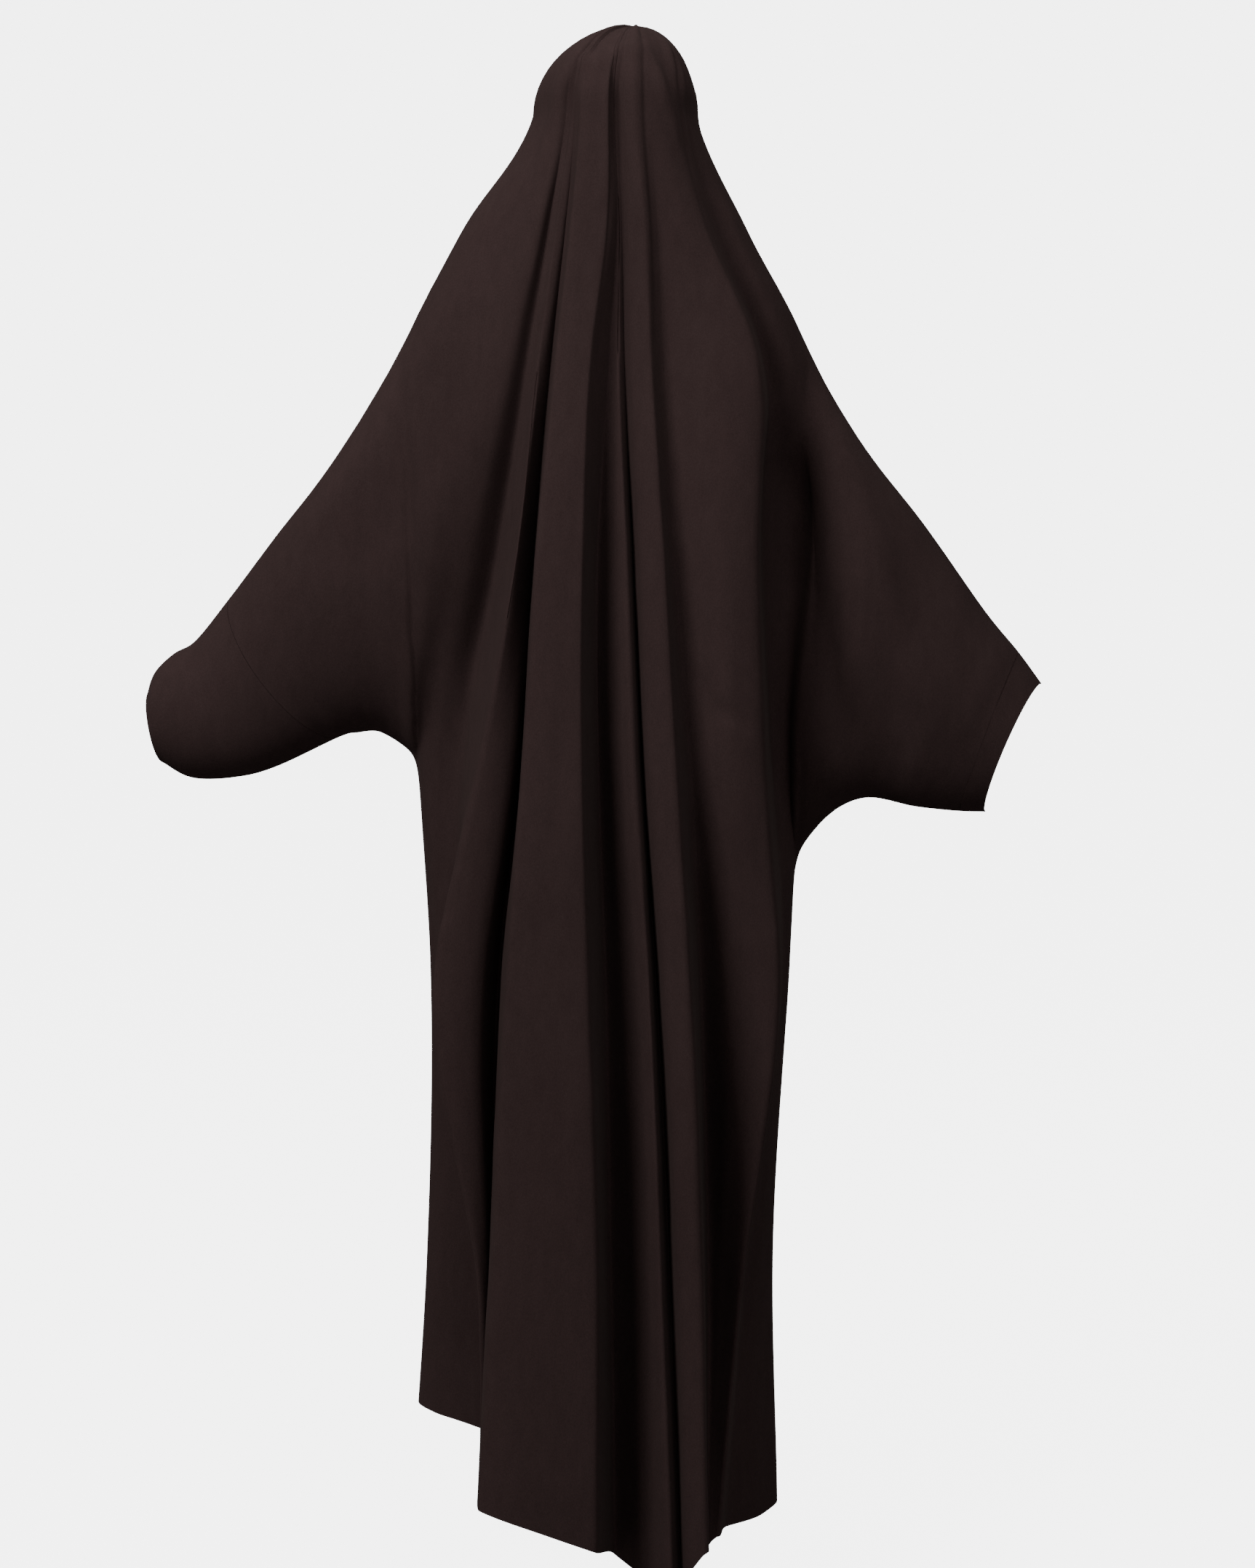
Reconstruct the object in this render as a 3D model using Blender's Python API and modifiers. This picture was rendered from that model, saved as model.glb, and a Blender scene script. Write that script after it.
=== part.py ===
"""An overhead jilbab, hanging as it is worn with the arms held out and down.

Frame: origin inside the crown of the hood, +Z up, the wearer faces +Y, so the long back folds lie
towards -Y. All lengths are in metres.

The cloth is a net of fold lines that run from the crown to the hem. A station is a place down
every fold line: 0 crown, 1 temple, 2 top of the armholes, 3 bottom of the armholes, 4 hem.
"""
from collections import namedtuple
from math import acos, pi

import bmesh
import bpy
import numpy as np

# Cloth and seams
CLOTH = 0.002               # thickness of the cloth
SEAM_GAP = 0.0008           # clear space between two panels along a seam
SEAM_STRIP = 0.12           # share of the first fold spacing that lies flat beside a seam
SEAM_TURN = 0.03            # the same for the turn round a wing
TINY = 1e-6

# Rows and columns of the net
ARM_ROWS = 10
SKIRT_ROWS = 12
SLEEVE_COLUMNS = 10

# Depths below the crown
HEIGHT = 1.735              # longest stretch of the back hem
TEMPLE_DROP = 0.10
NAPE_DROP = 0.23
ARMHOLE_TOP = 0.363
SHOULDER_DROP = 0.37
ELBOW_DROP = 0.60
LEFT_ARMPIT = 0.828
RIGHT_ARMPIT = 0.943
HIP_DROP = 0.83
THIGH_DROP = 1.07
SHIN_DROP = 1.42
HEM_DROP = 1.69

# Half widths of the draped cloth, and how far it stands behind and before the axis
HEAD_HALF, HEAD_BACK, HEAD_FRONT = 0.10, 0.108, 0.10
NAPE_HALF, NAPE_BACK, NAPE_FRONT = 0.16, 0.12, 0.09
SHOULDER_HALF, SHOULDER_BACK, SHOULDER_FRONT = 0.23, 0.14, 0.13
ELBOW_HALF, ELBOW_BACK, ELBOW_FRONT = 0.23, 0.18, 0.15
HIP_HALF, HIP_BACK, HIP_FRONT = 0.22, 0.21, 0.16
THIGH_HALF, THIGH_BACK, THIGH_FRONT = 0.20, 0.235, 0.18
SHIN_HALF, SHIN_BACK, SHIN_FRONT = 0.20, 0.26, 0.195
HEM_HALF, HEM_BACK, HEM_FRONT = 0.20, 0.285, 0.21

# Face opening in the front panel
FACE_TOP = 0.04             # drop of its upper edge
FACE_BOTTOM = 0.23          # drop of its lower edge
FACE_FOLDS = 3.0            # fold lines from its middle to its side
FACE_REACH = 0.5            # how far its roundness spreads, as a share of its half size

# Arms
LEFT_ARMHOLE = 0.07         # half the depth of the armhole, back to front
RIGHT_ARMHOLE = 0.052       # the same on the right, where the cloth falls in beside the arm
WING_DEPTH = 0.08           # half the depth that a wing would have over the shoulder
LEFT_REACH = 0.544          # axis to the end of the left sleeve
RIGHT_REACH = 0.488         # axis to the end of the right sleeve
WING_DROP = 0.865           # crown to the lowest cloth under the left hand

COLOUR = (0.030, 0.023, 0.021, 1.0)
ROUGHNESS = 0.85

Level = namedtuple("Level", "name drop half_width back front")
Fold = namedtuple("Fold", "name across depth hem")
Section = namedtuple("Section", "name top_out top_drop under_out under_drop depth bow")

LEVELS = (
    Level("temple", TEMPLE_DROP, HEAD_HALF, HEAD_BACK, HEAD_FRONT),
    Level("nape", NAPE_DROP, NAPE_HALF, NAPE_BACK, NAPE_FRONT),
    Level("shoulder", SHOULDER_DROP, SHOULDER_HALF, SHOULDER_BACK, SHOULDER_FRONT),
    Level("elbow", ELBOW_DROP, ELBOW_HALF, ELBOW_BACK, ELBOW_FRONT),
    Level("hip", HIP_DROP, HIP_HALF, HIP_BACK, HIP_FRONT),
    Level("thigh", THIGH_DROP, THIGH_HALF, THIGH_BACK, THIGH_FRONT),
    Level("shin", SHIN_DROP, SHIN_HALF, SHIN_BACK, SHIN_FRONT),
    Level("hem", HEM_DROP, HEM_HALF, HEM_BACK, HEM_FRONT),
)

# Fold lines of the back, from the left seam to the right one. Each has its place across, as a
# share of the half width, and its depth behind the axis, as a share of the back depth, at each
# level from temple to hem. The last value is its hem, as a share of the height.
BACK_FOLDS = (
    Fold("left_seam", (-0.96, -1.09, -1.07, -1.03, -1.05, -1.06, -1.12, -1.21),
         (0.00, 0.00, 0.00, 0.00, 0.00, 0.00, 0.00, 0.00), 0.911),
    Fold("left_wing", (-0.84, -0.91, -0.92, -0.94, -1.01, -1.02, -1.03, -1.09),
         (0.39, 0.40, 0.43, 0.45, 0.13, 0.13, 0.13, 0.14), 0.914),
    Fold("left_fall", (-0.63, -0.54, -0.51, -0.75, -0.92, -0.95, -0.81, -0.86),
         (0.67, 0.72, 0.70, 0.45, 0.17, 0.19, 0.22, 0.24), 0.922),
    Fold("left_hollow", (-0.56, -0.49, -0.44, -0.62, -0.82, -0.87, -0.64, -0.69),
         (0.68, 0.67, 0.63, 0.44, 0.21, 0.23, 0.28, 0.30), 0.931),
    Fold("left_drape", (-0.50, -0.42, -0.37, -0.51, -0.74, -1.05, -0.77, -0.76),
         (0.74, 0.75, 0.76, 0.76, 0.67, 0.62, 0.66, 0.62), 0.945),
    Fold("left_deep", (-0.46, -0.36, -0.32, -0.43, -0.54, -0.66, -0.69, -0.71),
         (0.76, 0.73, 0.67, 0.54, 0.42, 0.41, 0.46, 0.50), 0.948),
    Fold("spine_left", (-0.40, -0.31, -0.27, -0.39, -0.47, -0.60, -0.71, -0.79),
         (0.91, 0.95, 0.97, 0.98, 0.98, 0.98, 0.97, 0.98), 0.952),
    Fold("spine_right", (-0.10, -0.04, -0.07, -0.16, -0.16, -0.14, -0.10, -0.09),
         (0.98, 1.00, 1.01, 1.00, 1.00, 1.00, 1.01, 1.00), 0.975),
    Fold("spine_valley", (-0.01, 0.01, -0.01, -0.09, -0.09, -0.05, -0.02, 0.01),
         (0.90, 0.87, 0.77, 0.68, 0.64, 0.63, 0.62, 0.62), 1.000),
    Fold("mid_rise", (0.06, 0.04, 0.02, -0.02, 0.01, 0.10, 0.17, 0.21),
         (0.90, 0.88, 0.83, 0.81, 0.84, 0.86, 0.89, 0.91), 1.000),
    Fold("mid_line", (0.12, 0.07, 0.06, 0.07, 0.12, 0.21, 0.30, 0.37),
         (0.90, 0.88, 0.80, 0.73, 0.73, 0.75, 0.79, 0.83), 1.000),
    Fold("mid_ridge", (0.22, 0.16, 0.13, 0.18, 0.24, 0.35, 0.43, 0.47),
         (0.96, 0.98, 0.97, 0.94, 0.93, 0.94, 0.95, 0.95), 0.995),
    Fold("flat_left", (0.36, 0.29, 0.25, 0.30, 0.37, 0.49, 0.55, 0.51),
         (0.92, 0.90, 0.86, 0.81, 0.79, 0.78, 0.66, 0.75), 0.990),
    Fold("flat_mid", (0.52, 0.47, 0.47, 0.52, 0.60, 0.75, 0.64, 0.53),
         (0.87, 0.88, 0.93, 0.89, 0.87, 0.82, 0.72, 0.78), 0.986),
    Fold("flat_right", (0.66, 0.62, 0.68, 0.73, 0.82, 0.97, 0.74, 0.56),
         (0.74, 0.80, 0.89, 0.84, 0.79, 0.66, 0.66, 0.74), 0.980),
    Fold("right_deep", (0.76, 0.74, 0.76, 0.79, 0.87, 0.92, 0.65, 0.64),
         (0.54, 0.52, 0.47, 0.35, 0.26, 0.20, 0.32, 0.36), 0.965),
    Fold("right_wing", (0.83, 0.86, 0.88, 0.88, 0.93, 0.98, 0.81, 0.82),
         (0.26, 0.30, 0.30, 0.25, 0.15, 0.10, 0.15, 0.17), 0.970),
    Fold("right_seam", (0.88, 0.92, 0.95, 0.93, 0.95, 0.99, 0.88, 0.90),
         (0.00, 0.00, 0.00, 0.00, 0.00, 0.00, 0.00, 0.00), 0.971),
)

# The same for the front, whose depth is before the axis.
FRONT_FOLDS = (
    Fold("left_seam", (-0.96, -1.09, -1.07, -1.03, -1.05, -1.06, -1.12, -1.21),
         (0.00, 0.00, 0.00, 0.00, 0.00, 0.00, 0.00, 0.00), 0.911),
    Fold("left_side", (-0.85, -0.94, -0.89, -0.87, -0.93, -0.95, -1.00, -1.07),
         (0.45, 0.39, 0.38, 0.57, 0.44, 0.47, 0.46, 0.45), 0.915),
    Fold("left_valley", (-0.70, -0.72, -0.65, -0.65, -0.75, -0.80, -0.82, -0.87),
         (0.74, 0.56, 0.62, 0.67, 0.53, 0.56, 0.56, 0.55), 0.920),
    Fold("left_ridge", (-0.50, -0.53, -0.48, -0.48, -0.55, -0.62, -0.65, -0.70),
         (0.91, 0.80, 0.87, 0.93, 0.94, 0.89, 0.89, 0.90), 0.926),
    Fold("left_inner", (-0.27, -0.30, -0.30, -0.29, -0.34, -0.37, -0.40, -0.42),
         (0.99, 0.93, 0.81, 0.80, 0.78, 0.75, 0.74, 0.72), 0.930),
    Fold("middle", (-0.04, -0.04, -0.04, -0.06, -0.07, -0.05, -0.07, -0.07),
         (1.02, 1.00, 1.00, 1.03, 1.03, 1.00, 1.00, 1.00), 0.935),
    Fold("right_inner", (0.19, 0.24, 0.22, 0.19, 0.24, 0.29, 0.30, 0.30),
         (0.99, 0.93, 0.82, 0.81, 0.80, 0.77, 0.76, 0.74), 0.940),
    Fold("right_ridge", (0.42, 0.44, 0.43, 0.42, 0.48, 0.55, 0.56, 0.59),
         (0.91, 0.80, 0.86, 0.92, 0.92, 0.88, 0.88, 0.90), 0.945),
    Fold("right_valley", (0.61, 0.61, 0.59, 0.59, 0.67, 0.72, 0.71, 0.74),
         (0.73, 0.56, 0.62, 0.67, 0.53, 0.54, 0.55, 0.53), 0.950),
    Fold("right_side", (0.80, 0.79, 0.80, 0.80, 0.84, 0.89, 0.82, 0.84),
         (0.43, 0.38, 0.38, 0.57, 0.44, 0.44, 0.44, 0.42), 0.960),
    Fold("right_seam", (0.88, 0.92, 0.95, 0.93, 0.95, 0.99, 0.88, 0.90),
         (0.00, 0.00, 0.00, 0.00, 0.00, 0.00, 0.00, 0.00), 0.971),
)

# Cross sections of the wings, from beside the armhole to the sleeve's mouth. Each gives its upper
# and lower end, outwards as a share of the reach and down as a share of the wing drop, then its
# depth and its bow away from the body as shares of the wing depth.
LEFT_WING = (
    Section("upper_arm", 0.603, 0.571, 0.500, 0.926, 0.85, 0.00),
    Section("elbow", 0.719, 0.665, 0.550, 0.925, 0.75, 0.20),
    Section("stitch_line", 0.813, 0.742, 0.590, 0.930, 0.66, 0.38),
    Section("wrist", 0.892, 0.803, 0.721, 0.969, 0.58, 0.25),
    Section("knuckles", 0.941, 0.822, 0.805, 0.984, 0.56, 0.20),
    Section("fingers", 0.978, 0.845, 0.901, 0.986, 0.52, 0.12),
    Section("mouth", 0.994, 0.872, 0.968, 0.965, 0.44, 0.05),
)
RIGHT_WING = (
    Section("upper_arm", 0.555, 0.533, 0.496, 1.037, 0.90, 0.00),
    Section("elbow", 0.717, 0.649, 0.588, 1.013, 0.80, 0.00),
    Section("forearm", 0.863, 0.764, 0.707, 1.025, 0.70, -0.05),
    Section("stitch_line", 0.945, 0.820, 0.810, 1.031, 0.62, -0.12),
    Section("mouth", 1.000, 0.862, 0.872, 1.032, 0.58, -0.20),
)

BACK_SIDE, FRONT_SIDE = -1.0, 1.0


def smooth(knots, values, at):
    """Values along a smooth curve through values[i] at knots[i]."""
    knots = np.asarray(knots, float)
    values = np.asarray(values, float)
    steps = np.diff(knots)
    slopes = np.diff(values, axis=0) / steps.reshape(-1, *[1] * (values.ndim - 1))
    tangents = np.empty_like(values)
    tangents[0] = slopes[0] * 0.5
    tangents[-1] = slopes[-1]
    for i in range(1, len(knots) - 1):
        tangents[i] = (slopes[i] * steps[i - 1] + slopes[i - 1] * steps[i]) / (steps[i - 1] + steps[i])
    return hermite(knots, values, tangents, at)


def hermite(knots, values, tangents, at):
    """Values along a curve through values[i] with slope tangents[i] at knots[i]."""
    i = int(np.clip(np.searchsorted(knots, at, side="right") - 1, 0, len(knots) - 2))
    step = knots[i + 1] - knots[i]
    t = (at - knots[i]) / step
    return (values[i] * (2 * t ** 3 - 3 * t ** 2 + 1) + tangents[i] * step * (t ** 3 - 2 * t ** 2 + t)
            + values[i + 1] * (3 * t ** 2 - 2 * t ** 3) + tangents[i + 1] * step * (t ** 3 - t ** 2))


def fold_point(folds, line, side, drop):
    """Where fold line number line is at a drop below the crown."""
    fold = folds[line]
    drops = [level.drop for level in LEVELS]
    reach = [level.back if side == BACK_SIDE else level.front for level in LEVELS]
    widths = [share * level.half_width for share, level in zip(fold.across, LEVELS)]
    depths = [share * deep for share, deep in zip(fold.depth, reach)]
    across, depth = smooth(drops, np.column_stack((widths, depths)), max(drop, TEMPLE_DROP))
    if drop >= TEMPLE_DROP:
        return np.array((across, side * depth, -drop))
    edge = folds[0].across[0] if fold.across[0] < 0 else folds[-1].across[0]
    plain = reach[0] * np.sqrt(1 - (fold.across[0] / edge) ** 2)
    dome = np.sqrt(1 - (1 - drop / TEMPLE_DROP) ** 2)
    depth = plain + (depth - plain) * (drop / TEMPLE_DROP) ** 2
    return np.array((across * dome, side * depth * dome, -drop))


def fold_drop(folds, line, station):
    """Drop of fold line number line at a station."""
    share = line / (len(folds) - 1)
    armpit = LEFT_ARMPIT + (RIGHT_ARMPIT - LEFT_ARMPIT) * share
    if station <= 1:
        return TEMPLE_DROP * (1 - np.cos(station * pi / 2))
    if station <= 2:
        return TEMPLE_DROP + (ARMHOLE_TOP - TEMPLE_DROP) * (station - 1)
    if station <= 3:
        edge = max(0.0, 1 - min(line, len(folds) - 1 - line) / 3) ** 2
        plain = station - 2
        rounded = (1 - np.cos(plain * pi)) / 2
        return ARMHOLE_TOP + (armpit - ARMHOLE_TOP) * (plain + (rounded - plain) * edge)
    return armpit + (folds[line].hem * HEIGHT - armpit) * (station - 3)


def wing_sections(folds, hand):
    """Ends, depth and bow of one wing's sections, from the armhole outwards."""
    line, armpit, armhole, reach, table = (
        (0, LEFT_ARMPIT, LEFT_ARMHOLE, LEFT_REACH, LEFT_WING) if hand == "left" else
        (len(folds) - 1, RIGHT_ARMPIT, RIGHT_ARMHOLE, RIGHT_REACH, RIGHT_WING))
    sign = -1.0 if hand == "left" else 1.0
    top = fold_point(folds, line, BACK_SIDE, ARMHOLE_TOP)
    under = fold_point(folds, line, BACK_SIDE, armpit)
    rows = [(top[0], top[2], under[0], under[2], armhole, 0.0)]
    for section in table:
        rows.append((sign * section.top_out * reach, -section.top_drop * WING_DROP,
                     sign * section.under_out * reach, -section.under_drop * WING_DROP,
                     section.depth * WING_DEPTH, section.bow * WING_DEPTH))
    return np.array(rows), sign


def wing_point(folds, hand, side, station, along):
    """Point of a wing at a station and at a section number along the arm."""
    sections, sign = wing_sections(folds, hand)
    top_x, top_z, under_x, under_z, depth, bow = smooth(range(len(sections)), sections, along)
    turn = (station - 2) * pi
    share = (1 - np.cos(turn)) / 2
    chord = np.array((under_x - top_x, under_z - top_z))
    away = sign * np.array((-chord[1], chord[0])) / np.hypot(*chord)
    x, z = np.array((top_x, top_z)) + chord * share + away * bow * np.sin(turn)
    return np.array((x, side * depth * np.sin(turn), z))


def panel_row(folds, side, station, places):
    """Points across a panel at a station, each at a place counted in fold lines."""
    last = len(folds) - 1
    lines = np.array([fold_point(folds, line, side, fold_drop(folds, line, station))
                      for line in range(len(folds))])
    ends = np.array(((0.0, side, 0.0), (0.0, -side, 0.0)))
    if 2 <= station <= 3:
        lines[0] = wing_point(folds, "left", side, station, 0)
        lines[last] = wing_point(folds, "right", side, station, 0)
        into = lines[0] - wing_point(folds, "left", side, station, 0.5)
        out = wing_point(folds, "right", side, station, 0.5) - lines[last]
        open_share = np.sin((station - 2) * pi)
        ends[0] += (into / np.linalg.norm(into) - ends[0]) * open_share
        ends[1] += (out / np.linalg.norm(out) - ends[1]) * open_share
    if station == 0:
        return np.repeat(lines[:1], len(places), axis=0)
    gaps = np.linalg.norm(np.diff(lines, axis=0), axis=1)
    steps = np.sqrt(gaps)
    knots = np.concatenate(((0.0,), np.cumsum(steps)))
    slopes = np.diff(lines, axis=0) / steps[:, None]
    tangents = np.empty_like(lines)
    tangents[0] = ends[0] * steps[0]
    tangents[last] = ends[1] * steps[-1]
    before, after = steps[:-1, None], steps[1:, None]
    tangents[1:-1] = (slopes[1:] * before + slopes[:-1] * after) / (before + after)
    at = np.interp(places, np.arange(last + 1), knots)
    return np.array([hermite(knots, lines, tangents, a) for a in at])


def face_stations():
    """Stations of the upper and lower edge of the face opening."""
    top = acos(1 - FACE_TOP / TEMPLE_DROP) * 2 / pi
    bottom = 1 + (FACE_BOTTOM - TEMPLE_DROP) / (ARMHOLE_TOP - TEMPLE_DROP)
    return top, bottom


def round_opening(place, station):
    """Move a place of the front's net so that its square opening becomes oval."""
    top, bottom = face_stations()
    middle = (len(FRONT_FOLDS) - 1) / 2
    half = (bottom - top) / 2
    a = (place - middle) / FACE_FOLDS
    b = (station - top - half) / half
    size = max(abs(a), abs(b))
    if size < 1 - TINY:
        return None
    ease = np.clip((1 + FACE_REACH - size) / FACE_REACH, 0, 1)
    scale = 1 + ease ** 2 * (3 - 2 * ease) * (size / np.hypot(a, b) - 1)
    return middle + a * scale * FACE_FOLDS, top + half + b * scale * half


def spread(start, end, count):
    """Values from start to end in count equal steps, without the start."""
    return list(np.linspace(start, end, count + 1)[1:])


def net_stations():
    """Stations of the net's rows, from the crown to the hem."""
    top, bottom = face_stations()
    head = [0.0] + spread(0, top, 2) + spread(top, 1, 2) + spread(1, bottom, 2) + spread(bottom, 2, 4)
    arms = [2 + SEAM_TURN] + spread(2, 3, ARM_ROWS)[:-1] + [3 - SEAM_TURN, 3.0]
    return head + arms + spread(3, 4, SKIRT_ROWS)


def net_places(folds):
    """Places of the net's columns, two for each fold line and a narrow one by each seam."""
    last = len(folds) - 1
    middle = [half / 2 for half in range(1, 2 * last)]
    return [0.0, SEAM_STRIP] + middle + [last - SEAM_STRIP, float(last)]


def stitch_line(table):
    """Number of the section on which a sleeve end is sewn."""
    return [section.name for section in table].index("stitch_line") + 1


def panel_point(folds, side, place, station):
    """One point of a panel, clear of the other panel's side of the seam."""
    point = panel_row(folds, side, station, [place])[0]
    return point + (0.0, side * SEAM_GAP / 2, 0.0)


def fill_net(bm, net, flip):
    """Faces between neighbouring points of a net, which has None where it is open."""
    corners = [[point is not None and bm.verts.new(point) for point in row] for row in net]
    for upper, lower in zip(corners, corners[1:]):
        for c in range(len(upper) - 1):
            ring = (upper[c], lower[c], lower[c + 1], upper[c + 1])
            if all(ring):
                bm.faces.new(ring[::-1] if flip else ring)
    bmesh.ops.remove_doubles(bm, verts=bm.verts, dist=TINY)
    loose = [vert for vert in bm.verts if not vert.link_faces]
    bmesh.ops.delete(bm, geom=loose, context="VERTS")


def new_piece(name, net, flip):
    """Object with a cloth wall outside the inner face that a net gives."""
    bm = bmesh.new()
    fill_net(bm, net, flip)
    mesh = bpy.data.meshes.new(name)
    bm.to_mesh(mesh)
    bm.free()
    mesh.shade_smooth()
    mesh.materials.append(crepe(name))
    piece = bpy.data.objects.new(name, mesh)
    wall = piece.modifiers.new("cloth", "SOLIDIFY")
    wall.thickness = CLOTH
    wall.offset = 1
    garment.objects.link(piece)


def crepe(name):
    """Matt brown-black crepe."""
    material = bpy.data.materials.new(name + "_crepe")
    material.use_nodes = True
    shader = material.node_tree.nodes["Principled BSDF"]
    shader.inputs["Base Color"].default_value = COLOUR
    shader.inputs["Roughness"].default_value = ROUGHNESS
    return material


def build_panel(name, folds, side):
    """One length of the cloth, from crown to hem, with its layer of both wings."""
    left = spread(stitch_line(LEFT_WING), 0, 2 * stitch_line(LEFT_WING))[:-1]
    right = spread(0, stitch_line(RIGHT_WING), 2 * stitch_line(RIGHT_WING))
    left.insert(0, float(stitch_line(LEFT_WING)))
    net = []
    for station in net_stations():
        row = []
        for hand, values in (("left", left), ("body", net_places(folds)), ("right", right)):
            for value in values:
                row.append(net_point(folds, side, hand, value, station))
        net.append(row)
    new_piece(name, net, flip=side == FRONT_SIDE)


def net_point(folds, side, part, value, station):
    """Point of a panel's net on its body or on a wing, or None where there is no cloth."""
    if part != "body":
        if not 2 <= station <= 3:
            return None
        point = wing_point(folds, part, side, station, value)
        return point + (0.0, side * SEAM_GAP / 2, 0.0)
    place = (value, station)
    if side == FRONT_SIDE:
        place = round_opening(value, station)
    return None if place is None else panel_point(folds, side, *place)


def build_sleeve_end(name, hand, table):
    """The end of a sleeve: a tube from its stitch line to its mouth."""
    seam = stitch_line(table)
    start, following = (wing_point(BACK_FOLDS, hand, BACK_SIDE, 3, along) for along in (seam, seam + 1))
    clear = SEAM_GAP / np.linalg.norm(following - start)
    alongs = [seam + clear] + spread(seam, len(table), 2 * (len(table) - seam))
    turns = [0.0] + spread(0, 1, SLEEVE_COLUMNS)
    ring = [(BACK_SIDE, 2 + turn) for turn in turns] + [(FRONT_SIDE, 3 - turn) for turn in turns[1:]]
    net = [[wing_point(BACK_FOLDS, hand, side, station, along) for along in alongs]
           for side, station in ring]
    new_piece(name, net, flip=hand == "left")


for old in list(bpy.data.objects):
    bpy.data.objects.remove(old, do_unlink=True)
garment = bpy.data.collections.new("jilbab")
bpy.context.scene.collection.children.link(garment)

build_panel("back_panel", BACK_FOLDS, BACK_SIDE)
build_panel("front_panel", FRONT_FOLDS, FRONT_SIDE)
build_sleeve_end("left_sleeve_end", "left", LEFT_WING)
build_sleeve_end("right_sleeve_end", "right", RIGHT_WING)
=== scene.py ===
"""Looks of an overhead jilbab that hangs as it is worn, with the arms held out and down.

Both lengths of cloth and both sleeve ends are nets of fold lines that run from the crown to the
hem. A station is a place down every fold line: 0 crown, 1 temple, 2 top of the armholes,
3 bottom of the armholes, 4 hem. A place is a position across, counted in fold lines. Metres,
+Z up, the wearer faces +Y.
"""
from collections import namedtuple
from math import acos, pi, radians

import bmesh
import bpy
import numpy as np
from bpy.props import FloatProperty, FloatVectorProperty, IntProperty, PointerProperty
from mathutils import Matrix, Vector


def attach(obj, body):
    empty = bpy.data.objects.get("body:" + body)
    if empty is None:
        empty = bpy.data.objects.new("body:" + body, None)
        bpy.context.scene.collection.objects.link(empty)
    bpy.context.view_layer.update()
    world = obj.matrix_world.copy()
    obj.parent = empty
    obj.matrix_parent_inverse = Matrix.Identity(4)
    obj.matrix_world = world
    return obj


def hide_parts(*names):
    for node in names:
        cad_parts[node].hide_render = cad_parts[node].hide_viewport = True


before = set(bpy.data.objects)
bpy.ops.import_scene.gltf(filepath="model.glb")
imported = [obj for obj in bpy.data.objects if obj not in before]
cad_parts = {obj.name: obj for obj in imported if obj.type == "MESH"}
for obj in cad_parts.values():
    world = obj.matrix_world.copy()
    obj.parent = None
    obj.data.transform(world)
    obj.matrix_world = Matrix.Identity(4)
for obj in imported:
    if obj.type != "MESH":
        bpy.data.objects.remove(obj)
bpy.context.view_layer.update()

bl_info = {
    "name": "Jilbab",
    "version": (1, 0, 0),
    "blender": (4, 5, 0),
    "location": "View3D > Sidebar > Jilbab",
    "description": "Overhead jilbab in draped crepe",
    "category": "Add Mesh",
}

TINY = 1e-6
SEAM_GAP = 0.0002           # clear space between two panels along a seam
SLEEVE_CLEAR = 0.006        # start of a sleeve end past its stitch line, in sections

# Depths below the crown
HEIGHT = 1.735              # crown to the lowest point of the back hem
TEMPLE_DROP = 0.10
NAPE_DROP = 0.23
ARMHOLE_TOP = 0.363
SHOULDER_DROP = 0.37
ELBOW_DROP = 0.60
LEFT_ARMPIT = 0.828
RIGHT_ARMPIT = 0.943
HIP_DROP = 0.83
THIGH_DROP = 1.07
SHIN_DROP = 1.42
HEM_DROP = 1.69

# Half widths of the draped cloth, and how far it stands behind and before the axis
HEAD_HALF, HEAD_BACK, HEAD_FRONT = 0.10, 0.108, 0.10
NAPE_HALF, NAPE_BACK, NAPE_FRONT = 0.16, 0.12, 0.09
SHOULDER_HALF, SHOULDER_BACK, SHOULDER_FRONT = 0.23, 0.14, 0.13
ELBOW_HALF, ELBOW_BACK, ELBOW_FRONT = 0.23, 0.18, 0.15
HIP_HALF, HIP_BACK, HIP_FRONT = 0.22, 0.21, 0.16
THIGH_HALF, THIGH_BACK, THIGH_FRONT = 0.20, 0.235, 0.18
SHIN_HALF, SHIN_BACK, SHIN_FRONT = 0.20, 0.26, 0.195
HEM_HALF, HEM_BACK, HEM_FRONT = 0.20, 0.285, 0.21

CROWN_SIDE = 0.02           # highest point of the crown, to the right of the axis

# Face opening in the front panel
FACE_TOP = 0.04             # drop of its upper edge
FACE_BOTTOM = 0.23          # drop of its lower edge
FACE_FOLDS = 3.0            # fold lines from its middle to its side
FACE_REACH = 0.5            # how far its roundness spreads, as a share of its half size

# Arms
LEFT_ARMHOLE = 0.07         # half the depth of the armhole, back to front
RIGHT_ARMHOLE = 0.052       # the same on the right, where the cloth falls in beside the arm
WING_DEPTH = 0.08           # half the depth that a wing would have over the shoulder
LEFT_REACH = 0.544          # axis to the end of the left sleeve
RIGHT_REACH = 0.488         # axis to the end of the right sleeve
WING_DROP = 0.865           # crown to the lowest cloth under the left hand

BACK_SIDE, FRONT_SIDE = -1.0, 1.0
FLOOR_GLOW = 5.2            # light that lifts the floor to the tone of the surroundings
SKY_GLOW = 5.2              # the same for the surroundings as the camera sees them

Level = namedtuple("Level", "name drop half_width back front")
Fold = namedtuple("Fold", "name soft across depth hem")
Section = namedtuple("Section", "name top_out top_drop under_out under_drop depth bow")
Crease = namedtuple("Crease", "name lift width path")

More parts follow.
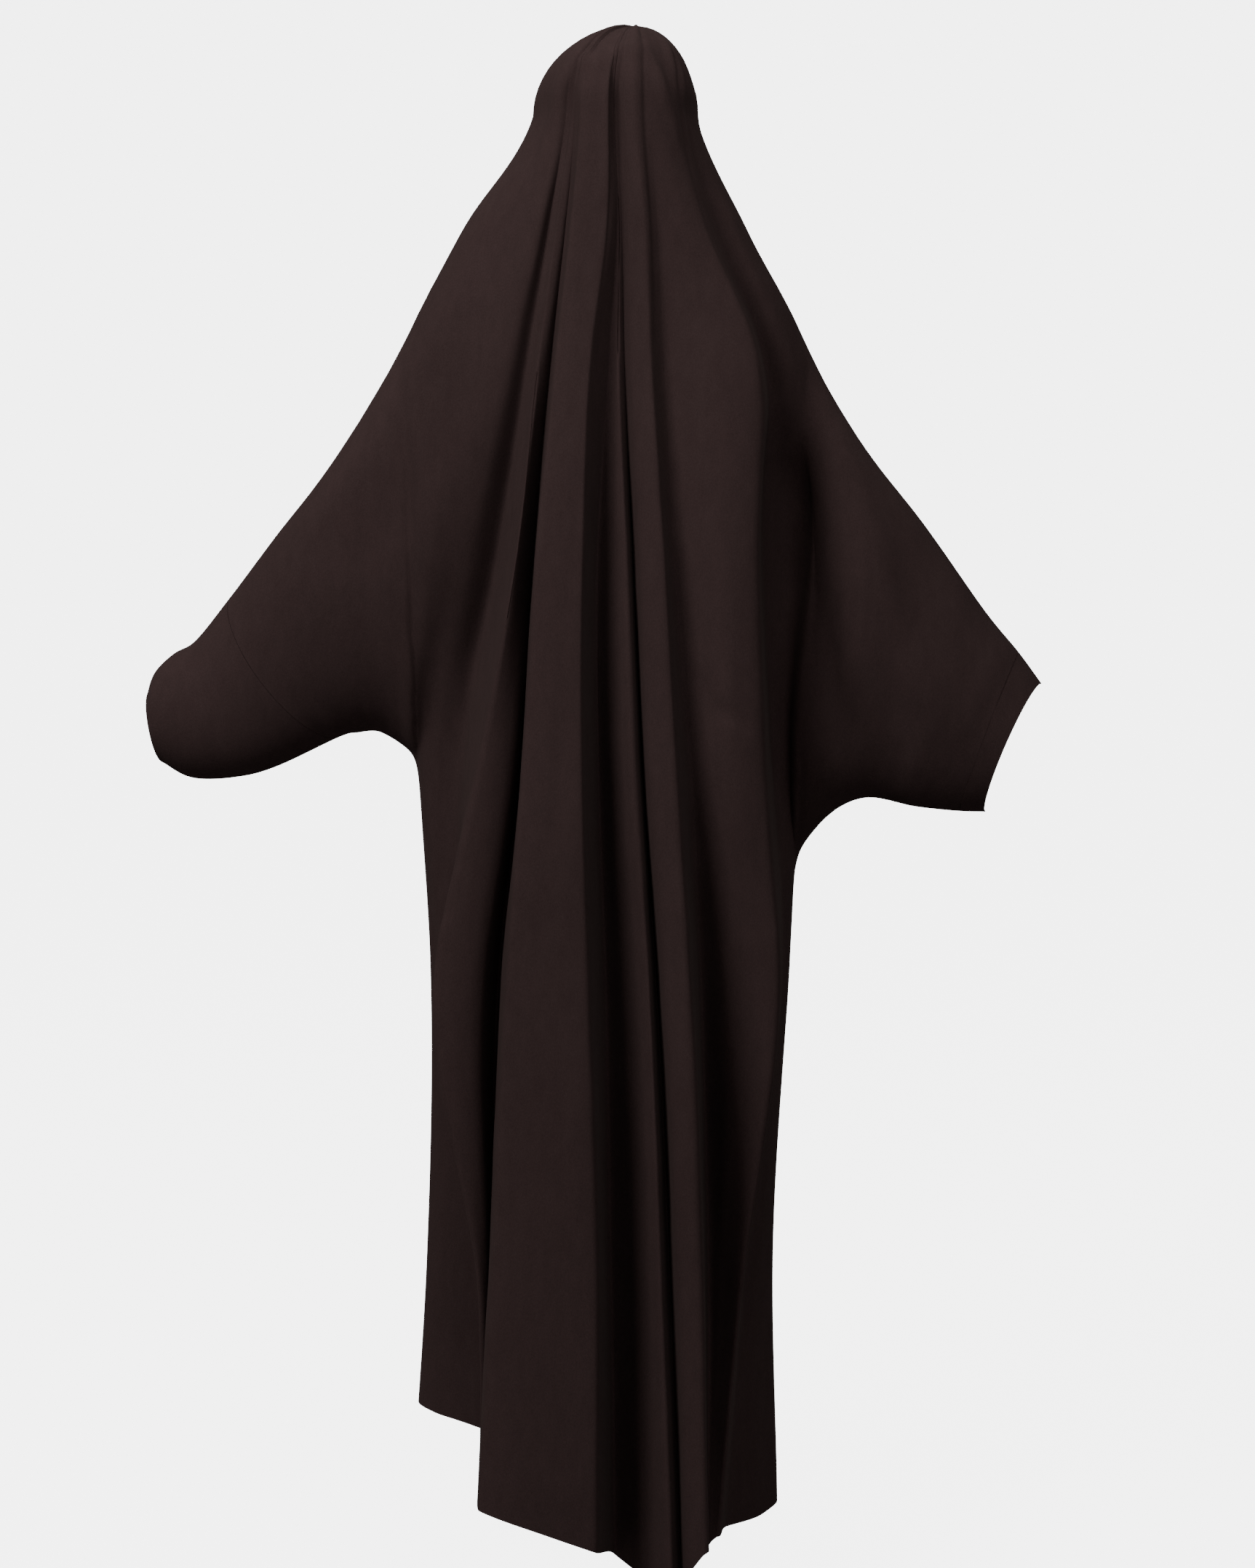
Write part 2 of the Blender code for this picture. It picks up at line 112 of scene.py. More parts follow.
LEVELS = (
    Level("temple", TEMPLE_DROP, HEAD_HALF, HEAD_BACK, HEAD_FRONT),
    Level("nape", NAPE_DROP, NAPE_HALF, NAPE_BACK, NAPE_FRONT),
    Level("shoulder", SHOULDER_DROP, SHOULDER_HALF, SHOULDER_BACK, SHOULDER_FRONT),
    Level("elbow", ELBOW_DROP, ELBOW_HALF, ELBOW_BACK, ELBOW_FRONT),
    Level("hip", HIP_DROP, HIP_HALF, HIP_BACK, HIP_FRONT),
    Level("thigh", THIGH_DROP, THIGH_HALF, THIGH_BACK, THIGH_FRONT),
    Level("shin", SHIN_DROP, SHIN_HALF, SHIN_BACK, SHIN_FRONT),
    Level("hem", HEM_DROP, HEM_HALF, HEM_BACK, HEM_FRONT),
)

# Fold lines of the back, from the left seam to the right one: how soft each bend is (1 is round),
# its place across as a share of the half width and its depth behind the axis as a share of the
# back depth, at each level from temple to hem, and its hem as a share of the height.
BACK_FOLDS = (
    Fold("left_seam", 1.0, (-0.96, -1.09, -1.07, -1.03, -1.05, -1.09, -1.12, -1.21),
         (0.00, 0.00, 0.00, 0.00, 0.00, 0.00, 0.00, 0.00), 0.917),
    Fold("left_wing", 1.0, (-0.84, -0.91, -0.92, -0.94, -1.01, -1.02, -1.03, -1.09),
         (0.39, 0.40, 0.43, 0.47, 0.13, 0.13, 0.13, 0.14), 0.918),
    Fold("left_fall", 0.9, (-0.63, -0.54, -0.51, -0.72, -0.90, -0.95, -0.81, -0.86),
         (0.67, 0.72, 0.68, 0.44, 0.16, 0.19, 0.22, 0.24), 0.923),
    Fold("left_hollow", 1.0, (-0.56, -0.49, -0.44, -0.60, -0.81, -0.87, -0.64, -0.69),
         (0.68, 0.66, 0.60, 0.35, 0.19, 0.23, 0.28, 0.30), 0.929),
    Fold("left_drape", 0.5, (-0.50, -0.42, -0.38, -0.49, -0.70, -1.02, -0.77, -0.77),
         (0.74, 0.75, 0.75, 0.76, 0.68, 0.63, 0.66, 0.62), 0.932),
    Fold("drape_face", 0.9, (-0.48, -0.39, -0.35, -0.44, -0.53, -0.76, -0.73, -0.75),
         (0.75, 0.74, 0.72, 0.62, 0.64, 0.64, 0.63, 0.60), 0.934),
    Fold("left_deep", 0.8, (-0.46, -0.36, -0.32, -0.41, -0.49, -0.67, -0.71, -0.73),
         (0.76, 0.72, 0.66, 0.54, 0.50, 0.46, 0.48, 0.52), 0.936),
    Fold("spine_left", 0.35, (-0.40, -0.31, -0.28, -0.38, -0.46, -0.60, -0.69, -0.77),
         (0.91, 0.95, 0.97, 0.98, 0.98, 0.98, 0.97, 0.98), 0.941),
    Fold("spine_right", 0.3, (-0.11, -0.08, -0.13, -0.17, -0.18, -0.17, -0.12, -0.12),
         (0.98, 1.00, 1.01, 1.00, 1.00, 1.00, 1.01, 1.00), 0.966),
    Fold("spine_valley", 0.8, (-0.07, -0.01, -0.04, -0.10, -0.10, -0.07, -0.04, -0.02),
         (0.90, 0.89, 0.81, 0.68, 0.64, 0.63, 0.62, 0.62), 0.988),
    Fold("mid_rise", 0.6, (-0.03, 0.01, 0.00, 0.04, 0.08, 0.17, 0.24, 0.29),
         (0.89, 0.89, 0.87, 0.85, 0.87, 0.88, 0.90, 0.92), 1.000),
    Fold("mid_line", 0.5, (0.01, 0.03, 0.03, 0.07, 0.12, 0.21, 0.29, 0.34),
         (0.87, 0.86, 0.78, 0.70, 0.71, 0.74, 0.78, 0.82), 1.000),
    Fold("ridge_rise", 0.8, (0.08, 0.08, 0.07, 0.11, 0.16, 0.26, 0.34, 0.38),
         (0.93, 0.93, 0.90, 0.88, 0.89, 0.90, 0.92, 0.92), 0.985),
    Fold("mid_ridge", 0.4, (0.18, 0.18, 0.15, 0.21, 0.28, 0.38, 0.45, 0.48),
         (0.97, 0.99, 0.98, 0.95, 0.94, 0.95, 0.96, 0.96), 0.968),
    Fold("flat_left", 0.8, (0.34, 0.27, 0.22, 0.27, 0.36, 0.46, 0.51, 0.50),
         (0.92, 0.90, 0.86, 0.80, 0.74, 0.57, 0.50, 0.74), 0.976),
    Fold("flat_mid", 1.0, (0.52, 0.45, 0.45, 0.50, 0.58, 0.64, 0.59, 0.52),
         (0.87, 0.88, 0.93, 0.89, 0.84, 0.68, 0.56, 0.74), 0.973),
    Fold("flat_right", 0.4, (0.65, 0.58, 0.65, 0.67, 0.74, 0.88, 0.68, 0.55),
         (0.74, 0.80, 0.88, 0.84, 0.79, 0.72, 0.66, 0.74), 0.970),
    Fold("right_deep", 0.6, (0.76, 0.70, 0.71, 0.72, 0.80, 0.94, 0.72, 0.62),
         (0.54, 0.52, 0.36, 0.20, 0.13, 0.20, 0.30, 0.36), 0.984),
    Fold("right_wing", 0.9, (0.84, 0.82, 0.82, 0.86, 0.90, 0.98, 0.83, 0.83),
         (0.32, 0.42, 0.36, 0.13, 0.10, 0.10, 0.15, 0.17), 0.987),
    Fold("right_seam", 1.0, (0.88, 0.92, 0.95, 0.93, 0.95, 0.99, 0.90, 0.93),
         (0.00, 0.00, 0.00, 0.00, 0.00, 0.00, 0.00, 0.00), 0.986),
)

# The same for the front, whose depth is before the axis.
FRONT_FOLDS = (
    Fold("left_seam", 1.0, (-0.96, -1.09, -1.07, -1.03, -1.05, -1.09, -1.12, -1.21),
         (0.00, 0.00, 0.00, 0.00, 0.00, 0.00, 0.00, 0.00), 0.917),
    Fold("left_side", 1.0, (-0.85, -0.94, -0.89, -0.87, -0.93, -0.95, -1.00, -1.07),
         (0.45, 0.39, 0.38, 0.57, 0.44, 0.47, 0.46, 0.45), 0.919),
    Fold("left_valley", 0.9, (-0.70, -0.72, -0.65, -0.65, -0.75, -0.80, -0.82, -0.87),
         (0.74, 0.56, 0.62, 0.67, 0.53, 0.56, 0.56, 0.55), 0.922),
    Fold("left_ridge", 0.7, (-0.50, -0.53, -0.48, -0.48, -0.55, -0.62, -0.65, -0.70),
         (0.91, 0.80, 0.87, 0.93, 0.94, 0.89, 0.89, 0.90), 0.926),
    Fold("left_inner", 0.9, (-0.27, -0.30, -0.30, -0.29, -0.34, -0.37, -0.40, -0.42),
         (0.99, 0.93, 0.81, 0.80, 0.78, 0.75, 0.74, 0.72), 0.930),
    Fold("middle", 0.9, (-0.04, -0.04, -0.04, -0.06, -0.07, -0.05, -0.07, -0.07),
         (1.02, 1.00, 1.00, 1.03, 1.03, 1.00, 1.00, 1.00), 0.935),
    Fold("right_inner", 0.9, (0.19, 0.24, 0.22, 0.19, 0.24, 0.29, 0.30, 0.30),
         (0.99, 0.93, 0.82, 0.81, 0.80, 0.77, 0.76, 0.74), 0.941),
    Fold("right_ridge", 0.7, (0.42, 0.44, 0.43, 0.42, 0.48, 0.55, 0.56, 0.59),
         (0.91, 0.80, 0.86, 0.92, 0.92, 0.88, 0.88, 0.90), 0.949),
    Fold("right_valley", 0.9, (0.61, 0.61, 0.59, 0.59, 0.67, 0.72, 0.71, 0.74),
         (0.73, 0.56, 0.62, 0.67, 0.53, 0.54, 0.55, 0.53), 0.958),
    Fold("right_side", 1.0, (0.80, 0.79, 0.80, 0.80, 0.84, 0.89, 0.84, 0.87),
         (0.43, 0.38, 0.38, 0.57, 0.44, 0.44, 0.44, 0.42), 0.972),
    Fold("right_seam", 1.0, (0.88, 0.92, 0.95, 0.93, 0.95, 0.99, 0.90, 0.93),
         (0.00, 0.00, 0.00, 0.00, 0.00, 0.00, 0.00, 0.00), 0.986),
)

# Cross sections of the wings, from beside the armhole to the sleeve's mouth: upper and lower end,
# outwards as a share of the reach and down as a share of the wing drop, then depth and bow away
# from the body as shares of the wing depth.
LEFT_WING = (
    Section("upper_arm", 0.603, 0.571, 0.500, 0.926, 0.85, 0.00),
    Section("elbow", 0.719, 0.665, 0.550, 0.925, 0.75, 0.20),
    Section("stitch_line", 0.813, 0.742, 0.590, 0.930, 0.66, 0.38),
    Section("wrist", 0.892, 0.803, 0.721, 0.969, 0.58, 0.25),
    Section("knuckles", 0.941, 0.822, 0.805, 0.984, 0.56, 0.20),
    Section("fingers", 0.978, 0.845, 0.901, 0.986, 0.52, 0.12),
    Section("mouth", 0.994, 0.872, 0.968, 0.965, 0.44, 0.05),
)
RIGHT_WING = (
    Section("upper_arm", 0.555, 0.533, 0.496, 1.037, 0.90, 0.00),
    Section("elbow", 0.717, 0.649, 0.588, 1.013, 0.80, 0.00),
    Section("forearm", 0.863, 0.764, 0.707, 1.025, 0.70, -0.05),
    Section("stitch_line", 0.945, 0.820, 0.810, 1.031, 0.62, -0.12),
    Section("mouth", 1.000, 0.862, 0.872, 1.032, 0.58, -0.20),
)

# Small folds of the cloth on the side seen from behind, each a soft ridge, or a valley where the
# lift is negative, along a path of (x, z) points.
BACK_CREASES = (
    Crease("left_arm_ridge", 0.005, 0.020, ((-0.11, -0.14), (-0.15, -0.20), (-0.189, -0.298),
           (-0.235, -0.38), (-0.272, -0.46), (-0.33, -0.545), (-0.40, -0.62))),
    Crease("left_arm_hollow", -0.004, 0.028, ((-0.12, -0.27), (-0.17, -0.38), (-0.21, -0.47),
           (-0.27, -0.57), (-0.33, -0.65))),
    Crease("right_arm_valley", -0.016, 0.028, ((0.186, -0.42), (0.200, -0.52), (0.214, -0.62),
           (0.236, -0.72), (0.262, -0.82), (0.280, -0.88))),
    Crease("right_arm_ridge", 0.006, 0.024, ((0.225, -0.40), (0.258, -0.50), (0.295, -0.62),
           (0.335, -0.73), (0.380, -0.82))),
    Crease("y_crease_down", -0.0025, 0.005, ((0.090, -0.72), (0.100, -0.757), (0.108, -0.790))),
    Crease("y_crease_right", -0.0025, 0.005, ((0.100, -0.757), (0.125, -0.772), (0.150, -0.787))),
    Crease("crown_right_1", 0.004, 0.006, ((0.030, -0.012), (0.052, -0.030), (0.070, -0.065),
           (0.080, -0.105))),
    Crease("crown_right_2", 0.003, 0.005, ((0.045, -0.015), (0.066, -0.040), (0.082, -0.080),
           (0.089, -0.120))),
    Crease("crown_right_3", 0.003, 0.005, ((0.020, -0.030), (0.040, -0.055), (0.057, -0.10),
           (0.068, -0.155))),
    Crease("crown_edge", 0.004, 0.007, ((-0.075, -0.062), (-0.052, -0.040), (-0.034, -0.052),
           (-0.008, -0.046), (0.006, -0.036), (0.030, -0.038), (0.048, -0.048))),
    Crease("crown_left", 0.003, 0.007, ((-0.040, -0.040), (-0.062, -0.075), (-0.076, -0.125),
           (-0.090, -0.19))),
)


def ease(share):
    """Smooth step from 0 to 1."""
    share = np.clip(share, 0, 1)
    return share ** 2 * (3 - 2 * share)


def hermite(start, end, start_slope, end_slope, t):
    """Points on curves between start and end; slopes are for a step of 1."""
    return (start * (2 * t ** 3 - 3 * t ** 2 + 1) + start_slope * (t ** 3 - 2 * t ** 2 + t)
            + end * (3 * t ** 2 - 2 * t ** 3) + end_slope * (t ** 3 - t ** 2))


def smooth(knots, values, at):
    """Values along a smooth curve through values[i] at knots[i], for many places."""
    knots = np.asarray(knots, float)
    values = np.asarray(values, float)
    steps = np.diff(knots)
    slopes = np.diff(values, axis=0) / steps[:, None]
    tangents = np.empty_like(values)
    tangents[0] = slopes[0] * 0.5
    tangents[-1] = slopes[-1]
    before, after = steps[:-1, None], steps[1:, None]
    tangents[1:-1] = (slopes[1:] * before + slopes[:-1] * after) / (before + after)
    i = np.clip(np.searchsorted(knots, at, side="right") - 1, 0, len(knots) - 2)
    step = steps[i][:, None]
    t = (at - knots[i])[:, None] / step
    return hermite(values[i], values[i + 1], tangents[i] * step, tangents[i + 1] * step, t)


def unit(vectors):
    """Vectors with length 1."""
    return vectors / np.linalg.norm(vectors, axis=-1, keepdims=True)


def fold_points(folds, side, drops):
    """Where each fold line is at its own drop below the crown; drops has a column for each."""
    levels = [level.drop for level in LEVELS]
    reach = np.array([level.back if side == BACK_SIDE else level.front for level in LEVELS])
    widths = np.array([level.half_width for level in LEVELS])
    points = np.empty(drops.shape + (3,))
    for line, fold in enumerate(folds):
        drop = drops[:, line]
        table = np.column_stack((fold.across * widths, fold.depth * reach))
        across, depth = smooth(levels, table, np.maximum(drop, TEMPLE_DROP)).T
        edge = (folds[0] if fold.across[0] < 0 else folds[-1]).across[0]
        plain = reach[0] * np.sqrt(1 - (fold.across[0] / edge) ** 2)
        up = np.clip(drop / TEMPLE_DROP, 0, 1)
        dome = np.sqrt(1 - (1 - up) ** 2)
        depth = plain + (depth - plain) * ease((up - 0.3) / 0.7)
        across = across * dome + CROWN_SIDE * (1 - dome)
        points[:, line] = np.column_stack((across, side * depth * dome, -drop))
    return points


def fold_drops(folds, stations):
    """Drop of every fold line at each station."""
    lines = np.arange(len(folds))
    last = len(folds) - 1
    armpit = LEFT_ARMPIT + (RIGHT_ARMPIT - LEFT_ARMPIT) * lines / last
    hem = np.array([fold.hem for fold in folds]) * HEIGHT
    edge = np.clip(1 - np.minimum(lines, last - lines) / 3, 0, 1) ** 2
    s = np.asarray(stations, float)[:, None]
    down = np.clip(s - 2, 0, 1)
    rounded = (1 - np.cos(down * pi)) / 2
    return (TEMPLE_DROP * (1 - np.cos(np.clip(s, 0, 1) * pi / 2))
            + (ARMHOLE_TOP - TEMPLE_DROP) * np.clip(s - 1, 0, 1)
            + (armpit - ARMHOLE_TOP) * (down + (rounded - down) * edge)
            + (hem - armpit) * np.clip(s - 3, 0, 1))


def wing_sections(hand):
    """Ends, depth and bow of one wing's sections from the armhole outwards, and its sign."""
    line, armpit, armhole, reach, table, sign = (
        (0, LEFT_ARMPIT, LEFT_ARMHOLE, LEFT_REACH, LEFT_WING, -1.0) if hand == "left" else
        (-1, RIGHT_ARMPIT, RIGHT_ARMHOLE, RIGHT_REACH, RIGHT_WING, 1.0))
    drops = np.repeat(np.array([[ARMHOLE_TOP], [armpit]]), len(BACK_FOLDS), axis=1)
    top, under = fold_points(BACK_FOLDS, BACK_SIDE, drops)[:, line]
    rows = [(top[0], top[2], under[0], under[2], armhole, 0.0)]
    for section in table:
        rows.append((sign * section.top_out * reach, -section.top_drop * WING_DROP,
                     sign * section.under_out * reach, -section.under_drop * WING_DROP,
                     section.depth * WING_DEPTH, section.bow * WING_DEPTH))
    return np.array(rows), sign


def wing_points(hand, side, stations, alongs):
    """Points of a wing at stations and at section numbers along the arm."""
    sections, sign = wing_sections(hand)
    here = smooth(np.arange(len(sections)), sections, alongs)
    top_x, top_z, under_x, under_z, depth, bow = here.T
    turn = (stations - 2) * pi
    share = (1 - np.cos(turn)) / 2
    chord_x, chord_z = under_x - top_x, under_z - top_z
    bowed = sign * bow * np.sin(turn) / np.hypot(chord_x, chord_z)
    return np.column_stack((top_x + chord_x * share - chord_z * bowed,
                            side * (depth * np.sin(turn) + SEAM_GAP / 2),
                            top_z + chord_z * share + chord_x * bowed))


def panel_points(folds, side, places, stations):
    """Points of a panel between its two seams."""
    lines = fold_points(folds, side, fold_drops(folds, stations))
    ends = np.empty((len(places), 2, 3))
    ends[:, 0] = (0.0, side, 0.0)
    ends[:, 1] = (0.0, -side, 0.0)
    beside = (stations >= 2) & (stations <= 3)
    at = stations[beside]
    near, far = np.zeros(len(at)), np.full(len(at), 0.5)
    gap = np.array((0.0, side * SEAM_GAP / 2, 0.0))
    left, left_out = (wing_points("left", side, at, along) - gap for along in (near, far))
    right, right_out = (wing_points("right", side, at, along) - gap for along in (near, far))
    lines[beside, 0], lines[beside, -1] = left, right
    share = np.sin((at - 2) * pi)[:, None]
    ends[beside, 0] += (unit(left - left_out) - ends[beside, 0]) * share
    ends[beside, 1] += (unit(right_out - right) - ends[beside, 1]) * share
    steps = np.sqrt(np.maximum(np.linalg.norm(np.diff(lines, axis=1), axis=2), TINY))[:, :, None]
    slopes = np.diff(lines, axis=1) / steps
    tangents = np.empty_like(lines)
    tangents[:, 0] = ends[:, 0] * steps[:, 0]
    tangents[:, -1] = ends[:, 1] * steps[:, -1]
    before, after = steps[:, :-1], steps[:, 1:]
    tangents[:, 1:-1] = (slopes[:, 1:] * before + slopes[:, :-1] * after) / (before + after)
    soft = np.array([fold.soft for fold in folds])
    crisp = ease(stations)[:, None]
    tangents *= (1 + (soft - 1) * crisp)[:, :, None]
    i = np.clip(places.astype(int), 0, len(folds) - 2)
    row = np.arange(len(places))
    step = steps[row, i]
    t = (places - i)[:, None]
    points = hermite(lines[row, i], lines[row, i + 1], tangents[row, i] * step,
                     tangents[row, i + 1] * step, t)
    return points + gap


def face_stations():
    """Stations of the upper and lower edge of the face opening."""
    top = acos(1 - FACE_TOP / TEMPLE_DROP) * 2 / pi
    bottom = 1 + (FACE_BOTTOM - TEMPLE_DROP) / (ARMHOLE_TOP - TEMPLE_DROP)
    return top, bottom


def face_offsets(places, stations):
    """Places and stations from the middle of the face opening, in half sizes of it."""
    top, bottom = face_stations()
    half = (bottom - top) / 2
    middle = (len(FRONT_FOLDS) - 1) / 2
    return (places - middle) / FACE_FOLDS, (stations - top - half) / half


def round_opening(places, stations):
    """Move the places of the front's net so that its square opening becomes oval."""
    top, bottom = face_stations()
    half = (bottom - top) / 2
    a, b = face_offsets(places, stations)
    size = np.maximum(np.abs(a), np.abs(b))
    share = ease((1 + FACE_REACH - size) / FACE_REACH)
    scale = 1 + share * (size / np.maximum(np.hypot(a, b), TINY) - 1)
    middle = (len(FRONT_FOLDS) - 1) / 2
    return middle + a * scale * FACE_FOLDS, top + half + b * scale * half


def value_noise(across, down, seed):
    """Smooth noise from -1 to 1 at positions counted in its own cells."""
    count = 64
    table = np.random.default_rng(seed).uniform(-1, 1, (count, count))
    i, j = np.floor(across).astype(int), np.floor(down).astype(int)
    p, q = ease(across - i), ease(down - j)
    corner = [[table[(i + right) % count, (j + under) % count] for under in (0, 1)]
              for right in (0, 1)]
    upper = corner[0][0] * (1 - p) + corner[1][0] * p
    lower = corner[0][1] * (1 - p) + corner[1][1] * p
    return upper * (1 - q) + lower * q


def crease_lift(points, crease):
    """How far one crease moves each point outwards: it is round across and fades at its ends."""
    path = np.array(crease.path)
    lengths = np.linalg.norm(np.diff(path, axis=0), axis=1)
    starts = np.concatenate(((0.0,), np.cumsum(lengths)))
    flat = points[:, (0, 2)]
    nearest = np.full(len(points), np.inf)
    along = np.zeros(len(points))
    for a, b, length, start in zip(path, path[1:], lengths, starts):
        t = np.clip((flat - a) @ (b - a) / length ** 2, 0, 1)
        away = np.linalg.norm(flat - a - t[:, None] * (b - a), axis=1)
        closer = away < nearest
        nearest = np.where(closer, away, nearest)
        along = np.where(closer, start + t * length, along)
    share = along / starts[-1]
    fade = ease(np.minimum(share, 1 - share) * 4)
    return crease.lift * fade * np.exp(-(nearest / crease.width) ** 2)


# Nets

def add_net(bm, columns, rows, locate):
    """Grid whose corners go where locate() puts them, with the cloth's own lengths as its UV."""
    layers = [bm.verts.layers.float.get(name) or bm.verts.layers.float.new(name)
              for name in ("across", "down", "value", "station")]
    uv = bm.loops.layers.uv.get("cloth") or bm.loops.layers.uv.new("cloth")
    grid = bmesh.ops.create_grid(bm, x_segments=len(columns) - 1, y_segments=len(rows) - 1,
                                 size=0.5)
    corners = grid["verts"]
    at = np.array([corner.co[:2] for corner in corners]) + 0.5
    c = np.rint(at[:, 0] * (len(columns) - 1)).astype(int)
    r = np.rint(at[:, 1] * (len(rows) - 1)).astype(int)
    value, station = np.asarray(columns, float)[c], np.asarray(rows, float)[r]
    points = locate(value, station)
    table = np.empty((len(rows), len(columns), 3))
    table[r, c] = points
    wide = np.linalg.norm(np.diff(table, axis=1), axis=2).mean(axis=0)
    long = np.linalg.norm(np.diff(table, axis=0), axis=2).mean(axis=1)
    across = np.concatenate(((0.0,), np.cumsum(wide)))
    down = np.concatenate(((0.0,), np.cumsum(long)))
    for corner, point, *stored in zip(corners, points, across[c], down[r], value, station):
        corner.co = point
        for layer, number in zip(layers, stored):
            corner[layer] = number
    for face in {face for corner in corners for face in corner.link_faces}:
        for loop in face.loops:
            loop[uv].uv = (loop.vert[layers[0]], loop.vert[layers[1]])
    return corners


def layer_values(bm, name):
    """Values that add_net() stored on the net's corners."""
    layer = bm.verts.layers.float[name]
    return np.array([corner[layer] for corner in bm.verts])


def steps(start, end, count):
    """Values from start to end in count equal steps."""
    return np.linspace(start, end, count + 1)


def joined(*runs):
    """One list of values from runs that share their end values."""
    return np.concatenate([runs[0]] + [run[1:] for run in runs[1:]])


def stitch_line(table):
    """Number of the section on which a sleeve end is sewn."""
    return [section.name for section in table].index("stitch_line") + 1


def body_rows():
    """Stations of the panels' rows, closer together at the hem."""
    top, bottom = face_stations()
    return joined(steps(0, top, 9), steps(top, 1, 6), steps(1, bottom, 14), steps(bottom, 2, 14),
                  steps(2, 3, 60), steps(3, 3.95, 84), steps(3.95, 4, 8))


def column_places(folds, side, width):
    """Places of a panel's columns, about as far apart as width at the hips."""
    drops = np.repeat(np.array([[SHOULDER_DROP], [HIP_DROP], [SHIN_DROP]]), len(folds), axis=1)
    gaps = np.linalg.norm(np.diff(fold_points(folds, side, drops), axis=1), axis=2).mean(axis=0)
    counts = np.clip(np.ceil(gaps / width), 4, 16).astype(int)
    return joined(*[steps(i, i + 1, count) for i, count in enumerate(counts)])


def beside_armhole(place, width):
    """Whether a place is within a distance of one of the armholes."""
    sides = (BACK_FOLDS[0].across[3] * ELBOW_HALF, BACK_FOLDS[-1].across[3] * ELBOW_HALF)
    return (min(abs(place.x - x) for x in sides) < width
            and -RIGHT_ARMPIT - width < place.z < width - ARMHOLE_TOP)


def relax_armholes(bm):
    """Round the cloth's turn from the body into the wings."""
    for width, rounds in ((0.06, 6), (0.035, 8), (0.018, 8)):
        near = [corner for corner in bm.verts if beside_armhole(corner.co, width)]
        inner = [corner for corner in near if not corner.is_boundary]
        rim = [(corner, [link.other_vert(corner) for link in corner.link_edges if link.is_boundary])
               for corner in near if corner.is_boundary]
        for _ in range(rounds):
            bmesh.ops.smooth_vert(bm, verts=inner, factor=0.5, use_axis_x=True, use_axis_y=True,
                                  use_axis_z=True)
            middles = [(corner, (ends[0].co + ends[1].co) / 2) for corner, ends in rim]
            for corner, middle in middles:
                corner.co.x += (middle.x - corner.co.x) / 2
                corner.co.z += (middle.z - corner.co.z) / 2
    bm.normal_update()


def finish_net(bm, flip):
    """Close the net's own joins, and turn its faces outwards."""
    bmesh.ops.remove_doubles(bm, verts=bm.verts, dist=TINY)
    if flip:
        bmesh.ops.reverse_faces(bm, faces=bm.faces)
    for face in bm.faces:
        face.smooth = True
    for edge in bm.edges:
        edge.smooth = not edge.is_boundary
    bm.verts.index_update()
    bm.normal_update()


def move_out(bm, lifts):
    """Move each corner of the net along its normal."""
    for corner, lift in zip(bm.verts, lifts):
        corner.co += corner.normal * float(lift)
    bm.normal_update()


def ripples(bm, points, height, seed):
    """Slight waves of the cloth, long in the way it falls, and none at a seam."""
    across, down = layer_values(bm, "across"), layer_values(bm, "down")
    wide = value_noise(across / 0.055 + 7, down / 0.42 + 3, seed)
    small = value_noise(across / 0.021 + down / 0.35 + 5, down / 0.16, seed + 1)
    dimple = value_noise(across / 0.035, down / 0.05, seed + 2)
    near_seam = ease(np.abs(points[:, 1]) / 0.03)
    return height * near_seam * (wide + 0.38 * small + 0.16 * dimple)


def wall(bm, name, nodes, thickness):
    """Object with a thin wall of cloth outside the net, which stands for CAD nodes."""
    mesh = bpy.data.meshes.new(name)
    bm.to_mesh(mesh)
    bm.free()
    piece = bpy.data.objects.new(name, mesh)
    bpy.context.scene.collection.objects.link(piece)
    solid = piece.modifiers.new("wall", "SOLIDIFY")
    solid.thickness = thickness
    solid.offset = 1
    solid.use_even_offset = False
    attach(piece, "root")
    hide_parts(*nodes)
    return piece


def build_panel(name, folds, side, creases, seed, settings):
    """One length of the cloth from crown to hem, with its layer of both wings."""
    bm = bmesh.new()
    rows = body_rows()
    arm_rows = rows[(rows >= 2) & (rows <= 3)]

    def locate(places, stations):
        if side == FRONT_SIDE:
            places, stations = round_opening(places, stations)
        return panel_points(folds, side, places, stations)

    add_net(bm, column_places(folds, side, settings.column_width), rows, locate)
    if side == FRONT_SIDE:
        cut_face(bm)
    for hand, table in (("left", LEFT_WING), ("right", RIGHT_WING)):
        end = stitch_line(table)
        alongs = steps(0, end, end * settings.columns_per_section)
        if hand == "left":
            alongs = alongs[::-1]
        add_net(bm, alongs, arm_rows,
                lambda along, station, hand=hand: wing_points(hand, side, station, along))
    finish_net(bm, flip=side == BACK_SIDE)
    relax_armholes(bm)
    points = np.array([corner.co for corner in bm.verts])
    lifts = ripples(bm, points, settings.ripple, seed)
    for crease in creases:
        lifts += crease_lift(points, crease)
    move_out(bm, lifts)
    return bm


def cut_face(bm):
    """Take the faces out of the face opening."""
    value, station = bm.verts.layers.float["value"], bm.verts.layers.float["station"]
    inside = []
    for face in bm.faces:
        places = np.array([corner[value] for corner in face.verts])
        stations = np.array([corner[station] for corner in face.verts])
        a, b = face_offsets(places.mean(), stations.mean())
        if max(abs(a), abs(b)) < 1:
            inside.append(face)
    bmesh.ops.delete(bm, geom=inside, context="FACES")


